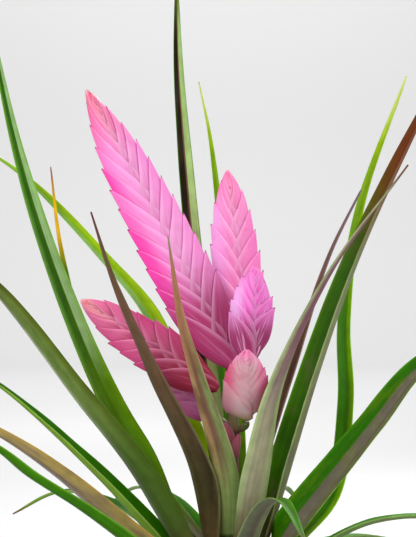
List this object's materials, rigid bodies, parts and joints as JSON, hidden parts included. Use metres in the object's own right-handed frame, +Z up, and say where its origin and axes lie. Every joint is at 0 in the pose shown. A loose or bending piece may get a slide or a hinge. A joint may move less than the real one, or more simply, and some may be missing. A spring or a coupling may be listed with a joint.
{
  "type": "air plant with pink flower paddles",
  "caption": "Bromeliad air plant: a rosette of arching channelled strap leaves round a forked stalk of flat pink paddles made of overlapping bracts.",
  "frame": {"origin": "centre of the crown's flat underside, where the bare plant stands on a surface", "axes": "+Z up along the crown; +Y away from the viewer; +X to the right as the plant is seen from its front"},
  "size_m": [0.2485, 0.2287, 0.2857],
  "materials": {
    "leaf_green": "living strap leaf, satin green with fine long ribs",
    "leaf_bright": "young strap leaf, bright yellow-green, satin",
    "leaf_olive": "strap leaf seen from its scaly outer side, grey-olive with purple-brown streaks",
    "bract_pink": "waxy pink bracts with pale keels, soft satin",
    "stalk_green": "fleshy green-brown stalk",
    "crown_bark": "dry brown stem and wiry roots"
  },
  "bodies": {
    "root": {"crown": "crown_bark", "flower_stalk": "stalk_green", "leaf_back_tall": "leaf_green", "leaf_back_thin": "leaf_bright", "leaf_front_beige": "leaf_olive", "leaf_right_thin": "leaf_olive", "leaf_left_bright": "leaf_bright", "leaf_front_left": "leaf_olive", "leaf_back_inner": "leaf_green", "leaf_front_right": "leaf_olive", "leaf_right_tall": "leaf_green", "leaf_left_small": "leaf_bright", "leaf_left_tall": "leaf_green", "leaf_back_right": "leaf_green", "leaf_back_left": "leaf_green", "leaf_right_outer": "leaf_green", "leaf_left_outer": "leaf_olive", "leaf_right_upright": "leaf_bright", "leaf_front_low": "leaf_olive", "leaf_back_low": "leaf_green", "leaf_left_low": "leaf_green", "leaf_front_left_low": "leaf_olive", "leaf_right_low": "leaf_green", "leaf_left_beige": "leaf_olive", "leaf_back_left_low": "leaf_green", "leaf_front_right_low": "leaf_olive", "leaf_left_bottom": "leaf_green", "leaf_back_right_low": "leaf_green", "leaf_ground_front": "leaf_olive", "leaf_ground_back": "leaf_green", "leaf_ground_left": "leaf_olive", "leaf_ground_right": "leaf_olive", "paddle_main": "bract_pink", "paddle_back": "bract_pink", "paddle_right": "bract_pink", "paddle_front": "bract_pink", "paddle_left": "bract_pink", "paddle_low": "bract_pink"}
  },
  "joints": []
}
